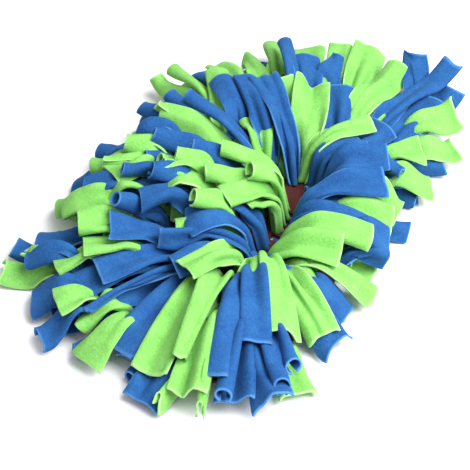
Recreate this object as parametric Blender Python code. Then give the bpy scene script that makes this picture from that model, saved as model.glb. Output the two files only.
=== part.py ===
"""A snuffle mat: fleece strips threaded through a slotted base panel.

Each strip passes under the base between two slots, and its two tails come up through them.
The tails arch outwards from a parting that runs along the middle of the mat, in tiers:
the inner tiers stand tall and lie over the outer ones, and the outermost reach the ground.

Units are metres and +Z is up. +Y runs along the parting. The origin is on the ground,
under the middle of the mat.
"""

import math
import random
from collections import namedtuple

import bmesh
import bpy
from mathutils import Vector

UP = Vector((0.0, 0.0, 1.0))
GAP = 0.0004  # between pieces that lie against each other

# The whole mat
MAT_LENGTH = 0.500
MAT_WIDTH = 0.310
PARTING_HALF = (MAT_LENGTH - MAT_WIDTH) / 2  # the loops of roots and ends are drawn round it
PARTING_MIDDLE = Vector((0.036, -0.018, 0.0))  # it lies off the mat's own middle

# A fleece strip: full width and thickness in its tails, gathered where it passes the base
FLEECE = 0.002
CROSSING_WIDTH = 0.009
CROSSING_DEPTH = 0.003
ROOT_WIDTH = 0.008
ROOT_DEPTH = 0.005

# The base panel lies on the crossings
BASE_THICKNESS = 0.003
BASE_BOTTOM = CROSSING_DEPTH + GAP
BASE_TOP = BASE_BOTTOM + BASE_THICKNESS
BASE_MARGIN = 0.012  # from the outermost roots to the edge
BASE_CORNER = 0.060
SLOT_SIZE = (0.011, 0.0075)  # across the crossing, and along it

# A tier is one loop of tails. Its roots lie root_out from the parting and its ends end_out.
Tier = namedtuple("Tier", "tails root_out end_out crest_height end_height end_width")
TIERS = (
    Tier(14, 0.012, 0.078, 0.0710, 0.0670, 0.038),
    Tier(18, 0.037, 0.106, 0.0535, 0.0460, 0.038),
    Tier(24, 0.062, 0.133, 0.0360, 0.0240, 0.036),
    Tier(28, 0.087, 0.151, 0.0180, 0.0042, 0.034),
)

# A station is one section of a tail, from the base's top to the cut end.
# along: its place on the tail's curve. turn: how far it has turned from the crossing's
# direction to the tail's. width and fold are shares of the tail's own.
Station = namedtuple("Station", "along turn width depth fold")
STATIONS = (
    Station(0.00, 0.0, 0.00, ROOT_DEPTH, 0.0),
    Station(0.13, 0.5, 0.08, 0.0035, 0.0),
    Station(0.28, 1.0, 0.35, 0.0024, 0.4),
    Station(0.45, 1.0, 0.66, FLEECE, 0.8),
    Station(0.63, 1.0, 0.88, FLEECE, 1.0),
    Station(0.81, 1.0, 0.98, FLEECE, 1.0),
    Station(1.00, 1.0, 1.00, FLEECE, 0.9),
)

# How uneven the tails are
SEED = 7
WIDTH_RANGE = (0.86, 1.00)
REACH_RANGE = (0.94, 1.00)
HEIGHT_JITTER = 0.0012
FOLD_RANGE = (0.0015, 0.0032)
SLANT_LIMIT = 0.005  # how far one corner of a cut end leads the other
COLOUR_KEEP = 0.4  # chance that a strip repeats its neighbour's colour

FINISHES = {
    "lime": (0.29, 0.83, 0.14),
    "blue": (0.05, 0.20, 0.66),
    "base": (0.10, 0.018, 0.016),
}


def fabric(name):
    """A matt cloth material of one of the FINISHES."""
    material = bpy.data.materials.new(name)
    material.use_nodes = True
    shader = material.node_tree.nodes["Principled BSDF"]
    shader.inputs["Base Color"].default_value = (*FINISHES[name], 1.0)
    shader.inputs["Roughness"].default_value = 0.95
    shader.inputs["Metallic"].default_value = 0.0
    return material


def add_object(name, mesh, material, collection):
    """An object in the collection that wears one material."""
    mesh.materials.clear()
    mesh.materials.append(material)
    placed = bpy.data.objects.new(name, mesh)
    collection.objects.link(placed)
    return placed


def loop_middle(out):
    """Loops start round the parting and end round the mat's own middle."""
    return PARTING_MIDDLE * (1.0 - out / (MAT_WIDTH / 2))


def loop_point(share, out):
    """The point at a share of the loop that runs the distance out from the parting.

    Shares start at the middle of the +X side and go anticlockwise.
    """
    middle = loop_middle(out)
    straight = 2 * PARTING_HALF
    bend = math.pi * out
    around = 2 * (straight + bend)
    run = (share * around + PARTING_HALF) % around
    side = 1.0
    if run >= straight + bend:
        run -= straight + bend
        side = -1.0
    if run < straight:
        return middle + side * Vector((out, run - PARTING_HALF, 0.0))
    angle = (run - straight) / out
    bend_x = out * math.cos(angle)
    bend_y = PARTING_HALF + out * math.sin(angle)
    return middle + side * Vector((bend_x, bend_y, 0.0))


def arch(along, reach, crest, end_height):
    """Distance out and height on a tail's curve, a Bezier that leaves the base upright."""
    back = 1.0 - along
    shares = (back**3, 3 * back**2 * along, 3 * back * along**2, along**3)
    outs = (0.0, 0.0, 0.5 * reach, reach)
    lift = (crest - 0.125 * (BASE_TOP + end_height)) / 0.75
    heights = (BASE_TOP, lift, lift, end_height)
    out = sum(share * value for share, value in zip(shares, outs))
    height = sum(share * value for share, value in zip(shares, heights))
    return out, height


def ring(centre, across, normal, fold):
    """Six points round a strip: its two edges and a ridge or trough along its middle."""
    crease = normal.normalized() * fold
    return [
        centre - across + normal,
        centre + crease + normal,
        centre + across + normal,
        centre + across - normal,
        centre + crease - normal,
        centre - across - normal,
    ]


def tail_rings(root, tip, tier, crossing_way, rng, side):
    """The rings of one tail from under the base to its cut end.

    crossing_way is the direction in which the crossing arrives at this root. side is 1 for
    the tail that the strip ends with, and -1 for the one that it starts with.
    """
    way = (tip - root).normalized()
    reach = (tip - root).length * rng.uniform(*REACH_RANGE)
    crest = tier.crest_height + rng.uniform(-HEIGHT_JITTER, HEIGHT_JITTER)
    width = tier.end_width * rng.uniform(*WIDTH_RANGE)
    fold = rng.choice((-1, 1)) * rng.uniform(*FOLD_RANGE)
    slant = rng.uniform(-SLANT_LIMIT, SLANT_LIMIT)

    half = CROSSING_DEPTH / 2
    corner = root + UP * half
    across = UP.cross(crossing_way) * CROSSING_WIDTH / 2
    rings = [ring(corner, side * across, (UP - crossing_way) * half, 0.0)]

    for station in STATIONS:
        out, height = arch(station.along, reach, crest, tier.end_height)
        centre = root + way * out + UP * height
        before = arch(max(station.along - 0.01, 0.0), reach, crest, tier.end_height)
        after = arch(min(station.along + 0.01, 1.0), reach, crest, tier.end_height)
        travel = way * (after[0] - before[0]) + UP * (after[1] - before[1])
        facing = crossing_way.lerp(way, station.turn).normalized()
        across = UP.cross(facing)
        normal = travel.cross(across).normalized()
        half_width = (ROOT_WIDTH + (width - ROOT_WIDTH) * station.width) / 2
        across *= half_width
        if station is STATIONS[-1]:
            across += travel.normalized() * slant
        rings.append(
            ring(centre, side * across, normal * station.depth / 2, fold * station.fold)
        )
    return rings


def strip_mesh(name, rings):
    """A closed mesh through the rings, capped at both cut ends."""
    build = bmesh.new()
    rows = [[build.verts.new(point) for point in points] for points in rings]
    for row, following in zip(rows, rows[1:]):
        for i in range(6):
            j = (i + 1) % 6
            build.faces.new((row[i], row[j], following[j], following[i]))
    for row in (rows[0], rows[-1]):
        build.faces.new((row[0], row[1], row[4], row[5]))
        build.faces.new((row[1], row[2], row[3], row[4]))
    bmesh.ops.recalc_face_normals(build, faces=build.faces)
    mesh = bpy.data.meshes.new(name)
    build.to_mesh(mesh)
    build.free()
    return mesh


def tail_shares(tier, index):
    """Where the two tails of a tier's strip stand on their loop, as shares of it."""
    offset = 0.25 / tier.tails if TIERS.index(tier) % 2 else 0.75 / tier.tails
    return (2 * index / tier.tails + offset, (2 * index + 1) / tier.tails + offset)


def add_strips(collection, materials):
    """Every strip of every tier, and where each crossing's ends come up."""
    rng = random.Random(SEED)
    crossings = []
    colour = "blue"
    number = 0
    for tier in TIERS:
        for index in range(tier.tails // 2):
            first, last = tail_shares(tier, index)
            root_a = loop_point(first, tier.root_out)
            root_b = loop_point(last, tier.root_out)
            way = (root_b - root_a).normalized()
            start = tail_rings(root_a, loop_point(first, tier.end_out), tier, -way, rng, -1)
            finish = tail_rings(root_b, loop_point(last, tier.end_out), tier, way, rng, 1)
            if rng.random() > COLOUR_KEEP:
                colour = "lime" if colour == "blue" else "blue"
            number += 1
            name = f"{colour}_strip_{number:02d}"
            mesh = strip_mesh(name, list(reversed(start)) + finish)
            add_object(name, mesh, materials[colour], collection)
            crossings.append((root_a, root_b))
    return crossings


def slot_cutter(crossings, collection):
    """One upright block for each slot in the base."""
    build = bmesh.new()
    for root_a, root_b in crossings:
        way = (root_b - root_a).normalized()
        angle = math.atan2(way.y, way.x)
        for root in (root_a, root_b):
            made = bmesh.ops.create_cube(build, size=1.0)["verts"]
            for vert in made:
                along = vert.co.x * SLOT_SIZE[1]
                across = vert.co.y * SLOT_SIZE[0]
                vert.co = (
                    root.x + along * math.cos(angle) - across * math.sin(angle),
                    root.y + along * math.sin(angle) + across * math.cos(angle),
                    BASE_BOTTOM + BASE_THICKNESS / 2 + vert.co.z * 4 * BASE_THICKNESS,
                )
    mesh = bpy.data.meshes.new("slots")
    build.to_mesh(mesh)
    build.free()
    cutter = bpy.data.objects.new("slots", mesh)
    cutter.hide_render = True
    cutter.display_type = "WIRE"
    collection.objects.link(cutter)
    return cutter


def add_base(cutter, collection, material):
    """The base panel, a flat sheet with round corners and a slot for every tail."""
    half_x = TIERS[-1].root_out + BASE_MARGIN
    half_y = PARTING_HALF + half_x
    middle = loop_middle(TIERS[-1].root_out)
    build = bmesh.new()
    made = bmesh.ops.create_cube(build, size=1.0)["verts"]
    for vert in made:
        vert.co.x = middle.x + vert.co.x * 2 * half_x
        vert.co.y = middle.y + vert.co.y * 2 * half_y
        vert.co.z = BASE_BOTTOM + (vert.co.z + 0.5) * BASE_THICKNESS
    upright = [e for e in build.edges if abs(e.verts[0].co.z - e.verts[1].co.z) > GAP]
    bmesh.ops.bevel(
        build, geom=upright, offset=BASE_CORNER, segments=6, profile=0.5, affect="EDGES"
    )
    mesh = bpy.data.meshes.new("base_panel")
    build.to_mesh(mesh)
    build.free()
    panel = add_object("base_panel", mesh, material, collection)
    cut = panel.modifiers.new("slots", "BOOLEAN")
    cut.operation = "DIFFERENCE"
    cut.solver = "EXACT"
    cut.object = cutter
    return panel


def centre_on_origin(objects):
    """Move the meshes so that the middle of their footprint is at the origin."""
    points = [vert.co for thing in objects for vert in thing.data.vertices]
    middle_x = (min(p.x for p in points) + max(p.x for p in points)) / 2
    middle_y = (min(p.y for p in points) + max(p.y for p in points)) / 2
    for thing in objects:
        for vert in thing.data.vertices:
            vert.co.x -= middle_x
            vert.co.y -= middle_y


def main():
    for thing in list(bpy.data.objects):
        bpy.data.objects.remove(thing, do_unlink=True)
    mat = bpy.data.collections.new("snuffle_mat")
    cutters = bpy.data.collections.new("cutters")
    bpy.context.scene.collection.children.link(mat)
    bpy.context.scene.collection.children.link(cutters)
    materials = {name: fabric(name) for name in FINISHES}
    crossings = add_strips(mat, materials)
    cutter = slot_cutter(crossings, cutters)
    add_base(cutter, mat, materials["base"])
    centre_on_origin(list(mat.objects) + [cutter])


main()
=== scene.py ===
"""Looks for the snuffle mat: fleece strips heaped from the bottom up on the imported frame.

Places, heights and widths of cloth are millimetres in the mat's frame, where +Y runs along
the parting and +X across it, and angles are degrees. Everything else is metres.
"""

import math
from collections import namedtuple

import bpy
import numpy as np
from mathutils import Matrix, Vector


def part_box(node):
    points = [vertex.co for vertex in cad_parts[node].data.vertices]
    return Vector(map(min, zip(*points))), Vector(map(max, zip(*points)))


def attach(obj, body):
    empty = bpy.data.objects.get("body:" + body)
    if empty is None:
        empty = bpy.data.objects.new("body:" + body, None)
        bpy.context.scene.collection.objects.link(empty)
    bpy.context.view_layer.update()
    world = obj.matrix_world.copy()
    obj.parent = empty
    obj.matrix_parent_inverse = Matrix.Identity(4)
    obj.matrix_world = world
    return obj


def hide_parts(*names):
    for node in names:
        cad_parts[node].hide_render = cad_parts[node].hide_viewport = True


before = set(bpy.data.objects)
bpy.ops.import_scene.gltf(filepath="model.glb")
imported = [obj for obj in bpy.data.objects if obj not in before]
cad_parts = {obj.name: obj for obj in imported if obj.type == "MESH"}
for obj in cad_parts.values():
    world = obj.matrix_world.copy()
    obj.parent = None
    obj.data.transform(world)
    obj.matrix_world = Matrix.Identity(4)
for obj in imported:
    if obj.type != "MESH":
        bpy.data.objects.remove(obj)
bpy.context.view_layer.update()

MM = 0.001
BASE_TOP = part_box("base_panel")[1].z / MM

# ---------------------------------------------------------------- camera, floor and light

VIEW_AZIMUTH, VIEW_ELEVATION = 29.0, 45.0
VIEW_DISTANCE = 1.30
VIEW_LENS = 112.0
VIEW_AIM = Vector((0.020, -0.059, 0.030))

FLOOR_SIZE = 12.0
FLOOR_DROP = 0.0005  # how far the floor lies below z = 0


def looking(azimuth, elevation):
    """The direction of a look from the given side and height, with azimuth 0 along +Y."""
    a, e = math.radians(azimuth), math.radians(elevation)
    return Vector((-math.sin(a) * math.cos(e), math.cos(a) * math.cos(e), -math.sin(e)))


def add_camera():
    """The main view, from above and beyond the mat's -Y end."""
    forward = looking(VIEW_AZIMUTH, VIEW_ELEVATION)
    data = bpy.data.cameras.new("camera")
    data.lens = VIEW_LENS
    data.sensor_width = 36.0
    camera = bpy.data.objects.new("camera", data)
    camera.location = VIEW_AIM - forward * VIEW_DISTANCE
    camera.rotation_euler = forward.to_track_quat("-Z", "Y").to_euler()
    bpy.context.scene.collection.objects.link(camera)
    bpy.context.scene.camera = camera


def add_area_light(name, azimuth, elevation, distance, size, power):
    """A soft square light that faces the middle of the mat."""
    forward = looking(azimuth, elevation)
    data = bpy.data.lights.new(name, "AREA")
    data.size = size
    data.energy = power
    light = bpy.data.objects.new(name, data)
    light.location = -forward * distance
    light.rotation_euler = forward.to_track_quat("-Z", "Y").to_euler()
    bpy.context.scene.collection.objects.link(light)


def add_stage():
    """A pale floor, a pale room and soft studio light."""
    bpy.ops.mesh.primitive_plane_add(size=FLOOR_SIZE, location=(0.0, 0.0, -FLOOR_DROP))
    floor = bpy.context.object
    floor.name = "floor"
    paper = bpy.data.materials.new("floor_paper")
    paper.use_nodes = True
    shader = paper.node_tree.nodes["Principled BSDF"]
    shader.inputs["Base Color"].default_value = (0.93, 0.93, 0.94, 1.0)
    shader.inputs["Roughness"].default_value = 0.9
    floor.data.materials.append(paper)

    world = bpy.data.worlds.new("studio")
    world.use_nodes = True
    world.node_tree.nodes["Background"].inputs["Color"].default_value = (1.0, 1.0, 1.0, 1.0)
    world.node_tree.nodes["Background"].inputs["Strength"].default_value = 0.31
    bpy.context.scene.world = world
    bpy.context.scene.view_settings.view_transform = "Standard"

    add_area_light("key", azimuth=92.0, elevation=57.0, distance=1.6, size=1.2, power=56.0)
    add_area_light("fill", azimuth=10.0, elevation=65.0, distance=1.8, size=1.2, power=7.0)


# ---------------------------------------------------------------- materials

# deep and mid are the fleece's own colours, mixed at random; the third is a highlight painted
# along the cut edges, and it also tints the sheen.
FLEECE_COLOURS = {
    "blue": dict(deep=(0.010, 0.050, 0.20), mid=(0.026, 0.128, 0.34), painted_edge_highlight=(0.09, 0.26, 0.60)),
    "lime": dict(deep=(0.13, 0.38, 0.070), mid=(0.25, 0.60, 0.14), painted_edge_highlight=(0.44, 0.80, 0.30)),
}
BASE_COLOURS = dict(deep=(0.035, 0.008, 0.008), mid=(0.12, 0.030, 0.026))

# Noise scales, in waves per metre: colour patches, tufts of pile and single fibres
PATCHES, PILE, FIBRES = 60.0, 520.0, 1900.0
BASE_PATCHES, BASE_THREADS = 45.0, 900.0

# A fleece's tone is PLAIN_TONE plus shares of the pile and the patches. Over TONE_RANGE it goes
# from the deep colour to the mid one.
PLAIN_TONE, PILE_TONE, PATCH_TONE = 0.10, 0.55, 0.50
TONE_RANGE = (0.35, 0.85)
BASE_TONE_RANGE = (0.6, 1.4)

# A pale highlight is painted along the cut edges where the edge mask is near 1, and the fibres
# fray its border.
FRAY = 0.35
PAINTED_HIGHLIGHT_RANGE = (0.75, 1.25)

FIBRE_NAP = 0.5  # how high the nap's fibres stand, beside its tufts


def noise(nodes, links, coordinates, scale, detail):
    """Noise over the coordinates, as a value from 0 to 1."""
    made = nodes.new("ShaderNodeTexNoise")
    made.inputs["Scale"].default_value = scale
    made.inputs["Detail"].default_value = detail
    links.new(coordinates, made.inputs["Vector"])
    return made.outputs["Fac"]


def maths(nodes, links, operation, *values):
    """The result of an operation on numbers and other nodes' outputs."""
    made = nodes.new("ShaderNodeMath")
    made.operation = operation
    for socket, value in zip(made.inputs, values):
        if isinstance(value, (int, float)):
            socket.default_value = value
        else:
            links.new(value, socket)
    return made.outputs[0]


def mixed(nodes, links, share, first, second):
    """A colour between two, where each is a tuple or another node's output."""
    made = nodes.new("ShaderNodeMix")
    made.data_type = "RGBA"
    links.new(share, made.inputs["Factor"])
    for socket, value in ((made.inputs["A"], first), (made.inputs["B"], second)):
        if isinstance(value, tuple):
            socket.default_value = (*value, 1.0)
        else:
            links.new(value, socket)
    return made.outputs["Result"]


def ramp(nodes, links, value, low, high):
    """The value as a share of the way from low to high, kept from 0 to 1."""
    made = nodes.new("ShaderNodeMapRange")
    links.new(value, made.inputs["Value"])
    made.inputs["From Min"].default_value = low
    made.inputs["From Max"].default_value = high
    return made.outputs["Result"]


def fleece_material(name, deep, mid, painted_edge_highlight):
    """Brushed polyester fleece: mottled pile, a fine nap, a soft sheen and a highlight painted
    along the cut edges.
    """
    material = bpy.data.materials.new(name)
    material.use_nodes = True
    nodes, links = material.node_tree.nodes, material.node_tree.links
    shader = nodes["Principled BSDF"]
    place = nodes.new("ShaderNodeTexCoord").outputs["Object"]

    patches = noise(nodes, links, place, PATCHES, detail=3.0)
    pile = noise(nodes, links, place, PILE, detail=3.0)
    fibres = noise(nodes, links, place, FIBRES, detail=2.0)

    mottle = maths(nodes, links, "MULTIPLY_ADD", pile, PILE_TONE, PLAIN_TONE)
    tone = maths(nodes, links, "MULTIPLY_ADD", patches, PATCH_TONE, mottle)
    body = mixed(nodes, links, ramp(nodes, links, tone, *TONE_RANGE), deep, mid)

    # The highlight painted along the cut edges: a paler colour where the edge mask is set.
    edge = nodes.new("ShaderNodeAttribute")
    edge.attribute_name = "edge"
    frayed = maths(nodes, links, "MULTIPLY_ADD", fibres, FRAY, edge.outputs["Fac"])
    colour = mixed(nodes, links, ramp(nodes, links, frayed, *PAINTED_HIGHLIGHT_RANGE), body, painted_edge_highlight)
    links.new(colour, shader.inputs["Base Color"])

    nap = nodes.new("ShaderNodeBump")
    nap.inputs["Strength"].default_value = 0.55
    nap.inputs["Distance"].default_value = 0.0012
    height = maths(nodes, links, "MULTIPLY_ADD", fibres, FIBRE_NAP, pile)
    links.new(height, nap.inputs["Height"])
    links.new(nap.outputs["Normal"], shader.inputs["Normal"])

    shader.inputs["Roughness"].default_value = 0.95
    shader.inputs["Specular IOR Level"].default_value = 0.15
    shader.inputs["Sheen Weight"].default_value = 0.31
    shader.inputs["Sheen Roughness"].default_value = 0.45
    shader.inputs["Sheen Tint"].default_value = (*painted_edge_highlight, 1.0)
    return material


def base_material(deep, mid):
    """Dark maroon close-woven cloth."""
    material = bpy.data.materials.new("base_cloth")
    material.use_nodes = True
    nodes, links = material.node_tree.nodes, material.node_tree.links
    shader = nodes["Principled BSDF"]
    place = nodes.new("ShaderNodeTexCoord").outputs["Object"]
    threads = noise(nodes, links, place, BASE_THREADS, detail=2.0)
    patches = noise(nodes, links, place, BASE_PATCHES, detail=3.0)
    tone = maths(nodes, links, "ADD", threads, patches)
    colour = mixed(nodes, links, ramp(nodes, links, tone, *BASE_TONE_RANGE), deep, mid)
    links.new(colour, shader.inputs["Base Color"])
    weave = nodes.new("ShaderNodeBump")
    weave.inputs["Strength"].default_value = 0.5
    weave.inputs["Distance"].default_value = 0.0006
    links.new(threads, weave.inputs["Height"])
    links.new(weave.outputs["Normal"], shader.inputs["Normal"])
    shader.inputs["Roughness"].default_value = 0.9
    shader.inputs["Specular IOR Level"].default_value = 0.2
    return material


# ---------------------------------------------------------------- the mound

# The mound's skin falls from DOME_HEIGHT in the middle to DOME_RIM at its rim, DOME_HALF away.
DOME_HEIGHT = 52.0
DOME_RIM = 6.0
DOME_HALF = (152.0, 240.0)
DOME_OUTLINE = 2.4  # 2 is an ellipse, and more is squarer
DOME_POWER = 2.6
DOME_BEYOND = -0.1  # how far the dome goes on falling past its rim, as a share of its rise

# The parting is a valley along Y, steep on its -X side and gentle on its +X side.
PARTING_X = 42.0
PARTING_Y = (-66.0, 50.0)
PARTING_FLOOR = 6.0
PARTING_SLOPES = (14.0, 2.0)
PARTING_ROUNDING = 5.0


def dome(x, y):
    """Height of the mound's skin over a point, with the parting as a valley in it."""
    across = np.abs(x / DOME_HALF[0]) ** DOME_OUTLINE
    along = np.abs(y / DOME_HALF[1]) ** DOME_OUTLINE
    rho = (across + along) ** (1 / DOME_OUTLINE)
    rise = np.clip(1.0 - rho**DOME_POWER, DOME_BEYOND, 1.0)
    mound = DOME_RIM + (DOME_HEIGHT - DOME_RIM) * rise
    beyond = np.maximum(np.maximum(PARTING_Y[0] - y, y - PARTING_Y[1]), 0.0)
    slope = np.where(x < PARTING_X, *PARTING_SLOPES)
    valley = PARTING_FLOOR + np.hypot((x - PARTING_X) * slope, beyond * PARTING_SLOPES[0])
    apart = np.abs(mound - valley) / PARTING_ROUNDING
    return np.minimum(mound, valley) - PARTING_ROUNDING * np.log1p(np.exp(-apart))


class Heap:
    """The height of what already lies on the ground, over a grid."""

    CELL = 2.0
    REACH = (190.0, 280.0)

    def __init__(self):
        shape = [int(2 * reach / self.CELL) + 1 for reach in self.REACH]
        self.height = np.zeros(shape)

    def cells(self, points):
        """The grid cells that the points lie over."""
        i = np.rint((points[..., 0] + self.REACH[0]) / self.CELL).astype(int)
        j = np.rint((points[..., 1] + self.REACH[1]) / self.CELL).astype(int)
        return (np.clip(i, 0, self.height.shape[0] - 1), np.clip(j, 0, self.height.shape[1] - 1))

    def under(self, points):
        """The highest that lies under each point or within a cell of it."""
        around = (-self.CELL, 0.0, self.CELL)
        shifts = [np.array([dx, dy, 0.0]) for dx in around for dy in around]
        return np.max([self.height[self.cells(points + shift)] for shift in shifts], axis=0)

    def lay(self, points):
        """Add a cloth grid's top side to the heap."""
        fine = refined(refined(points))
        np.maximum.at(self.height, self.cells(fine), fine[..., 2] + THICKNESS / 2)


def refined(points):
    """The grid of points with one more between each two, both ways."""
    rows = np.zeros((2 * points.shape[0] - 1, *points.shape[1:]))
    rows[::2] = points
    rows[1::2] = (points[1:] + points[:-1]) / 2
    both = np.zeros((rows.shape[0], 2 * rows.shape[1] - 1, 3))
    both[:, ::2] = rows
    both[:, 1::2] = (rows[:, 1:] + rows[:, :-1]) / 2
    return both


# ---------------------------------------------------------------- fleece tails

THICKNESS = 1.8
STRIP_WIDTH = 38.0
CLEARANCE = 0.4  # between a tail and what it lies on

# Points in a tail's grid. A cross-section is worked out FINE times as finely.
ALONG, ACROSS = 18, 15
FINE = 4

# A tail is bunched at its root, as a strip is in its slot. Its section ripples by GATHER_ANGLE
# in GATHER_RIPPLES waves, which die out towards the cut end.
GATHER_ANGLE = 112.0
GATHER_RIPPLES = 1.6
GATHER_FADE = 1.1

# Where a tail's style has opened, it is uneven by UNEVEN, in waves along and across it.
UNEVEN = 1.1
UNEVEN_ALONG, UNEVEN_ACROSS = 5.0, 2.3

# How a tail's cross-section bends from edge to edge. In degrees, arch bends it evenly, fold
# creases it along a line, left and right roll those edges, spiral winds it up from the right
# edge, and wave ripples it. A minus sign bends the edges up. crease is the line's place, from -1
# at the left edge to 1 at the right, and ripples counts the waves. stiffness is the share of a
# row's greatest lift that all of the row takes.
Style = namedtuple("Style", "arch fold crease left right spiral wave ripples stiffness")
STYLES = {
    "flat": Style(45, 0, 0.0, 30, 30, 0, 14, 1.5, 0.3),
    "sheet": Style(85, 0, 0.0, 20, 20, 0, 18, 1.0, 0.3),
    "arch": Style(165, 0, 0.0, 0, 0, 0, 12, 1.5, 0.6),
    "tube": Style(325, 0, 0.0, 0, 0, 0, 0, 1.0, 1.0),
    "spiral": Style(0, 0, 0.0, 0, 0, 520, 0, 1.0, 1.0),
    "fold": Style(35, 150, 0.12, 0, 0, 0, 12, 1.5, 0.3),
    "furrow": Style(40, -120, -0.1, 70, 70, 0, 8, 1.5, 0.3),
    "edges": Style(45, 0, 0.0, 130, 130, 0, 10, 1.5, 0.6),
    "pleat": Style(25, 0, 0.0, 0, 0, 0, 60, 2.5, 0.3),
}
ROLLED = ("tube", "spiral")
CREASE_WIDTH = 0.12
EDGE_START = 0.3
EDGE_POWER = 1.4
SPIRAL_POWER = 1.7

# Where along a tail its style starts to open and how long that takes, as shares of the way. A
# rolled tail has begun to roll at the base, and is rolled a quarter of the way along.
ROLLED_OPENING = (-0.10, 0.35)
LAID_OPENING = (0.05, 0.55)

# A tail's path. It leans back, if at all, in its first LEAN_SHARE, and rises within RISE_SHARE.
# It lies up to SINK below the mound's skin, comes out to the skin over SUNK_SHARES, and turns to
# its tip's own height at the end. It sets out at RUN_START of its mean pace.
LEAN_SHARE = 0.45
RISE_SHARE = 0.20
SINK = 15.0
SUNK_SHARES = (0.05, 0.50)
END_POWER = 3.5
RUN_START = 0.25
RUN_POWER = 1.3

# The twist grows along the tail, and the slant of the cut is made within its last CUT_SHARE.
TWIST_POWER = 1.3
CUT_SHARE = 0.3

# How far a tail is lifted off what it would cut through: freely up to FREE_LIFT, then less and
# less up to twice that. The lift fades in past the root, and spreads to the points around it.
FREE_LIFT = 15.0
LIFT_SHARES = (0.12, 0.30)
SPREAD_ALONG, SPREAD_ACROSS = 2, 1

# root is where a tail leaves the base, and tip the middle of its cut end before any lift. bow is
# how far it swings to its right, twist how far its end turns, slant how much longer its right
# edge is cut than its middle, and lean how far back it leans before it turns over.
Tail = namedtuple("Tail", "colour root tip style bow twist slant lean", defaults=(0,) * 4)


def smooth(values):
    """The smooth step of values kept from 0 to 1."""
    held = np.clip(values, 0.0, 1.0)
    return held * held * (3.0 - 2.0 * held)


def eased_in(s, shares):
    """A smooth step along s, which starts at the first share and takes the second."""
    start, length = shares
    return smooth((s - start) / length)


def edge_roll(v):
    """The share of an edge's roll at places across a strip, where 1 is that edge."""
    return np.clip((v - EDGE_START) / (1.0 - EDGE_START), 0.0, 1.0) ** EDGE_POWER


def section(style, opened, gathered, phase):
    """Offsets across and outwards of one cross-section, for a share of the style's bend.

    They are scaled so that the steps between the points kept add up to STRIP_WIDTH.
    """
    v = np.linspace(-1.0, 1.0, FINE * (ACROSS - 1) + 1)
    bend = style.arch / 2 * v
    bend = bend + style.fold / 2 * np.tanh((v - style.crease) / CREASE_WIDTH)
    bend = bend + style.right * edge_roll(v)
    bend = bend - style.left * edge_roll(-v)
    bend = bend + style.spiral * ((v + 1.0) / 2.0) ** SPIRAL_POWER
    bend = bend + style.wave * np.cos(math.pi * style.ripples * v + phase)
    bend = bend * opened + GATHER_ANGLE * gathered * np.cos(math.pi * GATHER_RIPPLES * v + phase)
    angle = np.radians((bend[1:] + bend[:-1]) / 2)
    step = STRIP_WIDTH / len(angle)
    across = np.concatenate(([0.0], np.cumsum(np.cos(angle) * step)))[::FINE]
    outward = np.concatenate(([0.0], np.cumsum(-np.sin(angle) * step)))[::FINE]
    scale = STRIP_WIDTH / np.hypot(np.diff(across), np.diff(outward)).sum()
    return (across - across.mean()) * scale, (outward - outward.mean()) * scale


def tail_path(tail, start_up, depth):
    """A tail's middle, as points up from its root, over, and along the mound's skin.

    With it come each point's share of the way and the level direction to the tail's right.
    """
    s = np.linspace(0.0, 1.0, ALONG)
    root, tip = np.array(tail.root), np.array(tail.tip[:2])
    span = np.linalg.norm(tip - root)
    way = (tip - root) / span
    right = np.array([way[1], -way[0]])
    run = span * (RUN_START * s + (1.0 - RUN_START) * s**RUN_POWER)
    run = run - tail.lean * np.sin(math.pi * np.clip(s / LEAN_SHARE, 0.0, 1.0))
    xy = root + run[:, None] * way + (tail.bow * np.sin(math.pi * s))[:, None] * right
    skin = dome(xy[:, 0], xy[:, 1]) - depth
    end_up = tail.tip[2] - skin[-1]
    sunk = skin + end_up * s**END_POWER - SINK * (1.0 - eased_in(s, SUNK_SHARES))
    z = start_up + (sunk - start_up) * smooth(s / RISE_SHARE)
    return np.column_stack((xy, z)), s, np.append(right, 0.0)


def tail_grid(tail, phase, heap, start_up, depth=0.0):
    """The grid of points of one tail, lifted over what already lies there."""
    style = STYLES[tail.style]
    path, s, level = tail_path(tail, start_up, depth)
    travel = np.gradient(path, axis=0)
    travel /= np.linalg.norm(travel, axis=1)[:, None]
    outward = np.cross(level, travel)
    outward /= np.linalg.norm(outward, axis=1)[:, None]
    opened = eased_in(s, ROLLED_OPENING if tail.style in ROLLED else LAID_OPENING)
    gathered = (1.0 - s) ** GATHER_FADE
    share = np.linspace(-1.0, 1.0, ACROSS)
    grid = np.zeros((ALONG, ACROSS, 3))
    for k in range(ALONG):
        across, out = section(style, opened[k], gathered[k], phase)
        waves = np.sin(UNEVEN_ALONG * s[k] + UNEVEN_ACROSS * share + phase)
        out = out + UNEVEN * waves * opened[k]
        turn = math.radians(tail.twist) * s[k] ** TWIST_POWER
        side = level * math.cos(turn) + outward[k] * math.sin(turn)
        up = outward[k] * math.cos(turn) - level * math.sin(turn)
        cut = tail.slant * share * eased_in(s[k], (1.0 - CUT_SHARE, CUT_SHARE))
        grid[k] = path[k] + across[:, None] * side + out[:, None] * up + cut[:, None] * travel[k]
    return lifted(grid, s, heap, style.stiffness)


def neighbours(values, reach, axis):
    """Copies of the values, moved along an axis by each step up to reach either way."""
    pad = [(0, 0), (0, 0)]
    pad[axis] = (reach, reach)
    padded = np.pad(values, pad, mode="edge")
    count = values.shape[axis]
    return [np.take(padded, range(i, i + count), axis) for i in range(2 * reach + 1)]


def spread(values, reach, axis):
    """The largest of each value's neighbours within reach along an axis, with soft steps."""
    largest = np.max(neighbours(values, reach, axis), axis=0)
    return np.mean(neighbours(largest, reach, axis), axis=0)


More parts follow.
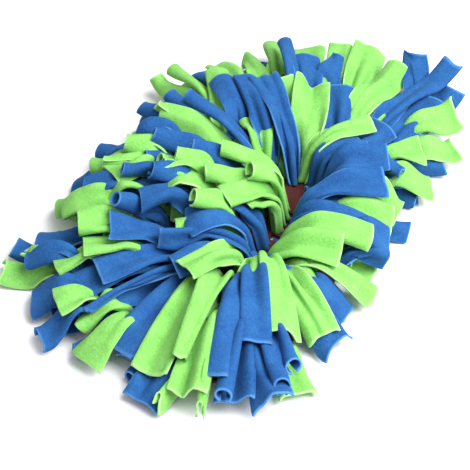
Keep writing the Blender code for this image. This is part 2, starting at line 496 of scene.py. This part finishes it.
def lifted(grid, s, heap, stiffness):
    """Raise a tail where it would cut through the heap.

    A soft tail follows the heap from point to point, and a stiff one is raised row by row.
    """
    lowest = heap.under(grid) + THICKNESS / 2 + CLEARANCE
    short = np.maximum(lowest - grid[..., 2], 0.0)
    short = short * eased_in(s, LIFT_SHARES)[:, None]
    whole_rows = np.repeat(short.max(axis=1)[:, None], ACROSS, axis=1)
    lift = np.maximum(short, stiffness * whole_rows)
    lift = spread(spread(lift, SPREAD_ALONG, axis=0), SPREAD_ACROSS, axis=1)
    over = np.maximum(lift - FREE_LIFT, 0.0)
    lift = np.minimum(lift, FREE_LIFT) + FREE_LIFT * (1.0 - np.exp(-over / FREE_LIFT))
    grid[..., 2] = np.maximum(grid[..., 2] + lift, THICKNESS / 2 + CLEARANCE)
    return grid


# ---------------------------------------------------------------- the tails that show

# From the lowest to the highest in each table. Roots are at the base, and tips have a height.

REAR = (
    Tail("blue", (-62, 96), (-122, 126, 16), "edges"),
    Tail("lime", (-60, 112), (-114, 150, 16), "sheet"),
    Tail("lime", (-50, 124), (-98, 178, 16), "fold"),
    Tail("lime", (12, 128), (-12, 190, 28), "sheet"),
    Tail("lime", (-45, 145), (-82, 208, 18), "edges"),
    Tail("lime", (-15, 150), (-50, 222, 18), "sheet", twist=20),
    Tail("lime", (8, 160), (-20, 237, 20), "edges"),
    Tail("lime", (30, 150), (10, 248, 24), "flat", twist=-15),
    Tail("lime", (52, 158), (42, 236, 24), "fold"),
    Tail("blue", (0, 127), (-30, 175, 42), "arch"),
    Tail("blue", (-12, 118), (-57, 182, 36), "tube"),
    Tail("blue", (3, 150), (-5, 198, 38), "fold"),
    Tail("lime", (12, 83), (-26, 116, 58), "edges"),
    Tail("blue", (45, 90), (22, 148, 52), "flat"),
    Tail("lime", (45, 110), (50, 228, 34), "sheet"),
    Tail("blue", (88, 190), (55, 246, 35), "flat", twist=60),
    Tail("blue", (92, 170), (105, 226, 26), "flat"),
    Tail("blue", (90, 118), (121, 143, 18), "fold"),
    Tail("blue", (89, 109), (104, 200, 28), "flat"),
    Tail("blue", (64, 128), (99, 244, 30), "edges"),
    Tail("lime", (105, 120), (141, 158, 18), "flat"),
    Tail("lime", (89, 142), (127, 190, 20), "flat"),
    Tail("lime", (100, 71), (142, 100, 14), "sheet"),
    Tail("lime", (86, 92), (121, 122, 26), "flat"),
    Tail("blue", (80, 82), (121, 75, 31), "fold"),
    Tail("blue", (57, 67), (80, 124, 46), "flat"),
    Tail("blue", (40, 44), (70, 88, 34), "flat"),
    Tail("lime", (30, 54), (70, 112, 46), "arch"),
    Tail("lime", (31, 58), (-1, 134, 50), "furrow"),
    Tail("blue", (58, 41), (106, 73, 42), "arch"),
    Tail("lime", (92, 40), (134, 45, 24), "flat"),
    Tail("lime", (78, 5), (136, 23, 23), "flat"),
    Tail("blue", (52, -16), (126, -3, 31), "arch"),
    Tail("blue", (52, -6), (117, 46, 38), "sheet"),
)

RIGHT = (
    Tail("blue", (98, -80), (142, -84, 10), "flat"),
    Tail("blue", (108, -15), (143, 0, 14), "flat"),
    Tail("blue", (110, -37), (149, -18, 13), "fold"),
    Tail("lime", (78, -68), (154, -50, 9), "sheet"),
    Tail("lime", (52, -45), (133, -16, 26), "arch"),
    Tail("lime", (52, -68), (119, -48, 37), "flat"),
    Tail("blue", (105, -105), (152, -118, 9), "flat"),
    Tail("lime", (102, -132), (146, -177, 9), "flat"),
    Tail("blue", (70, -110), (122, -182, 14), "sheet"),
    Tail("lime", (66, -76), (141, -122, 9), "pleat"),
    Tail("blue", (98, -138), (137, -172, 13), "tube"),
    Tail("blue", (95, -145), (139, -195, 13), "tube"),
    Tail("lime", (50, -72), (86, -168, 16), "flat"),
    Tail("lime", (53, -64), (114, -150, 18), "flat"),
    Tail("blue", (85, -150), (137, -208, 9), "flat"),
    Tail("blue", (78, -145), (107, -217, 9), "flat"),
    Tail("blue", (70, -138), (100, -223, 13), "tube"),
    Tail("blue", (48, -92), (86, -214, 13), "edges"),
    Tail("blue", (53, -84), (103, -173, 22), "arch"),
)

FRONT = (
    Tail("blue", (42, -190), (36, -248, 9), "flat"),
    Tail("lime", (56, -192), (52, -246, 13), "fold"),
    Tail("lime", (67, -178), (87, -238, 13), "fold"),
    Tail("lime", (52, -145), (72, -233, 9), "flat"),
    Tail("blue", (20, -98), (-5, -219, 19), "flat"),
    Tail("lime", (28, -100), (33, -228, 14), "flat"),
    Tail("lime", (36, -98), (53, -212, 21), "fold"),
    Tail("lime", (-12, -175), (-26, -236, 9), "flat"),
    Tail("lime", (-22, -168), (-45, -212, 15), "fold"),
    Tail("blue", (-15, -113), (-75, -188, 27), "sheet"),
    Tail("blue", (9, -108), (-41, -205, 26), "fold"),
    Tail("blue", (-6, -100), (-57, -165, 42), "flat"),
    Tail("blue", (-42, -188), (-73, -233, 13), "edges"),
    Tail("blue", (-58, -176), (-103, -200, 9), "flat"),
    Tail("lime", (-45, -178), (-71, -207, 17), "flat"),
    Tail("lime", (-60, -138), (-94, -174, 22), "arch"),
    Tail("lime", (-31, -116), (-79, -151, 38), "flat"),
    Tail("blue", (-98, -140), (-155, -152, 13), "edges"),
    Tail("blue", (-84, -121), (-137, -140, 16), "sheet"),
    Tail("lime", (-98, -158), (-148, -180, 13), "arch"),
    Tail("lime", (-92, -145), (-135, -160, 13), "fold"),
    Tail("blue", (-76, -156), (-126, -172, 13), "tube"),
    Tail("lime", (-58, -112), (-93, -137, 34), "tube"),
    Tail("lime", (-58, -98), (-99, -128, 34), "arch"),
    Tail("blue", (-18, -98), (-66, -128, 50), "flat"),
    Tail("lime", (30, -60), (-20, -95, 52), "arch"),
    Tail("blue", (40, -84), (2, -136, 44), "arch"),
    Tail("blue", (42, -74), (-24, -116, 52), "fold", lean=6),
    Tail("lime", (42, -92), (19, -143, 46), "arch", lean=6),
)

LEFT = (
    Tail("blue", (-110, -50), (-155, -45, 8), "flat"),
    Tail("blue", (-98, -20), (-150, -18, 22), "tube"),
    Tail("lime", (-82, 0), (-90, -56, 42), "flat"),
    Tail("blue", (-85, 20), (-129, 44, 32), "arch"),
    Tail("lime", (-85, 10), (-128, 12, 28), "tube"),
    Tail("lime", (-70, 62), (-160, 102, 26), "tube"),
    Tail("lime", (-64, 70), (-146, 112, 28), "tube"),
    Tail("blue", (-62, 40), (-122, 66, 44), "tube"),
    Tail("blue", (-62, 12), (-127, 24, 46), "tube"),
    Tail("blue", (-42, -40), (-83, -76, 52), "tube"),
    Tail("blue", (-45, -22), (-84, -44, 56), "tube"),
    Tail("lime", (-52, -5), (-92, -12, 54), "tube"),
    Tail("lime", (-60, 22), (-104, 16, 52), "spiral"),
    Tail("blue", (-70, -48), (-112, -66, 46), "tube"),
    Tail("lime", (-62, -66), (-98, -96, 50), "tube"),
    Tail("blue", (-40, -75), (-72, -108, 56), "tube"),
    Tail("lime", (-70, -27), (-98, -75, 42), "flat"),
    Tail("lime", (-88, -36), (-136, -50, 22), "tube"),
    Tail("lime", (-95, -72), (-148, -93, 16), "arch"),
    Tail("blue", (-75, -68), (-118, -91, 32), "arch"),
    Tail("lime", (-76, -83), (-127, -111, 22), "edges"),
    Tail("lime", (-2, 14), (-98, 6, 46), "furrow"),
    Tail("blue", (-2, 30), (-84, 36, 58), "tube"),
    Tail("blue", (-30, 0), (-87, -22, 60), "tube"),
    Tail("lime", (-20, -10), (-64, -46, 62), "tube"),
    Tail("lime", (-12, -26), (-54, -58, 58), "tube"),
    Tail("lime", (-8, -44), (-48, -76, 60), "spiral"),
    Tail("blue", (-24, -46), (-60, -68, 56), "tube"),
    Tail("blue", (-18, -64), (-56, -93, 50), "edges"),
    Tail("blue", (16, 2), (-44, -24, 58), "tube"),
    Tail("blue", (34, -54), (-10, -92, 34), "flat"),
    Tail("blue", (40, -40), (-4, -60, 44), "fold"),
    Tail("lime", (20, -52), (-11, -79, 58), "tube"),
    Tail("lime", (40, -14), (20, -42, 44), "edges"),
    Tail("lime", (35, -6), (-19, -44, 52), "tube"),
    Tail("lime", (38, -8), (8, -58, 48), "edges"),
    Tail("lime", (36, 8), (-20, -12, 54), "tube"),
    Tail("lime", (38, 2), (16, -26, 57), "tube"),
    Tail("lime", (-46, 42), (-95, 112, 45), "edges"),
    Tail("blue", (-26, 46), (-78, 98, 42), "sheet"),
    Tail("lime", (-2, 34), (-26, 66, 50), "flat"),
    Tail("blue", (4, 44), (-60, 104, 46), "edges"),
    Tail("blue", (24, 48), (-42, 108, 48), "pleat"),
    Tail("blue", (-66, 0), (-110, -10, 44), "tube"),
    Tail("lime", (-66, -22), (-106, -38, 44), "tube"),
    Tail("lime", (-72, -46), (-114, -62, 38), "spiral"),
    Tail("blue", (-46, -52), (-86, -74, 50), "tube"),
    Tail("lime", (-14, -26), (-50, -42, 55), "tube"),
    Tail("lime", (-20, -42), (-56, -62, 52), "spiral"),
)


# ---------------------------------------------------------------- strips

# The under layer lies UNDER_DEPTH below the mound's skin, and its tips at LOWEST_TIP or more. Its
# tails end at UNDER_REACH of the CAD strips' reach. Their bow, twist and slant are drawn from
# minus to plus UNDER_SWINGS.
UNDER_DEPTH = 18.0
LOWEST_TIP = 2.0
UNDER_REACH = 0.78
UNDER_SWINGS = (8.0, 25.0, 3.0)
UNDER_STYLES = ("flat", "sheet", "arch", "fold", "edges", "tube")

SEED = 5
WHOLE_TURN = 6.28  # the phases of a tail's ripples are drawn from this range, in radians

# A crossing is the part of a CAD strip that lies within CROSSING_LOW of the ground. The strip's
# middle runs at CROSSING_UP there, and its roots are ROOT_INSET inside the crossing's ends.
CROSSING_LOW = 0.5
CROSSING_UP = 1.7
ROOT_INSET = 2.0
TIP_POINTS = 8  # the outermost corners of a CAD tail, whose middle is its tip


def corners(node):
    """The corners of a CAD node's mesh."""
    return np.array([vert.co[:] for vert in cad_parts[node].data.vertices]) / MM


def crossing_ends(node):
    """The two ends of a CAD strip's crossing under the base."""
    points = corners(node)
    low = points[points[:, 2] < CROSSING_LOW][:, :2]
    middle = low.mean(axis=0)
    _, _, axes = np.linalg.svd(low - middle)
    reach = ((low - middle) @ axes[0]).max() - ROOT_INSET
    return middle - axes[0] * reach, middle + axes[0] * reach


def solid_tip(node, root, other):
    """The far end of the CAD strip's tail that starts at root."""
    points = corners(node)
    mine = np.linalg.norm(points[:, :2] - root, axis=1)
    theirs = np.linalg.norm(points[:, :2] - other, axis=1)
    half = points[mine < theirs]
    far = np.argsort(-np.linalg.norm(half[:, :2] - root, axis=1))[:TIP_POINTS]
    return half[far].mean(axis=0)


def cloth_object(name, grid, material):
    """A thin solid sheet through a grid of points."""
    rows, columns = grid.shape[:2]
    faces = [
        (i * columns + j, i * columns + j + 1, (i + 1) * columns + j + 1, (i + 1) * columns + j)
        for i in range(rows - 1)
        for j in range(columns - 1)
    ]
    mesh = bpy.data.meshes.new(name)
    mesh.from_pydata((grid.reshape(-1, 3) * MM).tolist(), [], faces)
    # The sheet's border marks where a highlight is painted along the cut edges.
    painted_highlight_border = np.zeros((rows, columns))
    painted_highlight_border[[0, -1], :] = 1.0
    painted_highlight_border[:, [0, -1]] = 1.0
    edge = mesh.attributes.new("edge", "FLOAT", "POINT")
    edge.data.foreach_set("value", painted_highlight_border.reshape(-1))
    mesh.materials.append(material)
    mesh.shade_smooth()
    piece = bpy.data.objects.new(name, mesh)
    bpy.context.scene.collection.objects.link(piece)
    solid = piece.modifiers.new("thickness", "SOLIDIFY")
    solid.thickness = THICKNESS * MM
    solid.offset = 0.0
    solid.edge_crease_inner = 0.9
    solid.edge_crease_outer = 0.9
    solid.edge_crease_rim = 0.5
    fine = piece.modifiers.new("smooth", "SUBSURF")
    fine.levels = 1
    fine.render_levels = 1
    return piece


def add_piece(name, grid, colour, materials):
    """A fleece piece on the mat's one body.
    """
    piece = cloth_object(name, grid, materials[colour])
    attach(piece, "root")
    return piece


def under_tail(colour, node, root, other, rng):
    """One tail of an under-layer strip, drawn at random within its CAD strip's reach."""
    tip = solid_tip(node, root, other)
    tip[:2] = root + UNDER_REACH * (tip[:2] - root)
    up = min(tip[2], dome(tip[0], tip[1]) - UNDER_DEPTH / 2)
    style = UNDER_STYLES[rng.integers(len(UNDER_STYLES))]
    bow, twist, slant = rng.uniform(-1.0, 1.0, 3) * UNDER_SWINGS
    place = (tip[0], tip[1], max(up, LOWEST_TIP))
    return Tail(colour, tuple(root), place, style, bow, twist, slant)


def add_under_layer(heap, rng, materials):
    """A strip in place of each CAD strip, from the outermost in.

    Each is one sheet: from a tip down to the crossing and, past it, up to the other tip.
    """
    nodes = [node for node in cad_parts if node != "base_panel"]
    for node in sorted(nodes, key=lambda name: -int(name[-2:])):
        colour = node.split("_")[0]
        ends = crossing_ends(node)
        grids = []
        for root, other in (ends, ends[::-1]):
            tail = under_tail(colour, node, root, other, rng)
            grid = tail_grid(tail, rng.uniform(0.0, WHOLE_TURN), heap, CROSSING_UP, UNDER_DEPTH)
            grid[0, :, 2] = CROSSING_UP
            heap.lay(grid)
            grids.append(grid)
        whole = np.concatenate((grids[0][::-1], grids[1][:, ::-1]))
        piece = add_piece(f"fleece_{node}", whole, colour, materials)
        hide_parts(node)


def add_top_layer(heap, rng, materials):
    """The single tails of the four tables, each laid over those before it."""
    for place, tails in (("rear", REAR), ("right", RIGHT), ("front", FRONT), ("left", LEFT)):
        for number, tail in enumerate(tails, 1):
            grid = tail_grid(tail, rng.uniform(0.0, WHOLE_TURN), heap, BASE_TOP)
            heap.lay(grid)
            name = f"tail_{place}_{number:02d}_{tail.colour}"
            add_piece(name, grid, tail.colour, materials)


def main():
    add_camera()
    add_stage()
    materials = {
        colour: fleece_material(f"fleece_{colour}", **tones)
        for colour, tones in FLEECE_COLOURS.items()
    }
    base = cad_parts["base_panel"].data
    base.materials.clear()
    base.materials.append(base_material(**BASE_COLOURS))

    heap = Heap()
    rng = np.random.default_rng(SEED)
    add_under_layer(heap, rng, materials)
    add_top_layer(heap, rng, materials)


main()
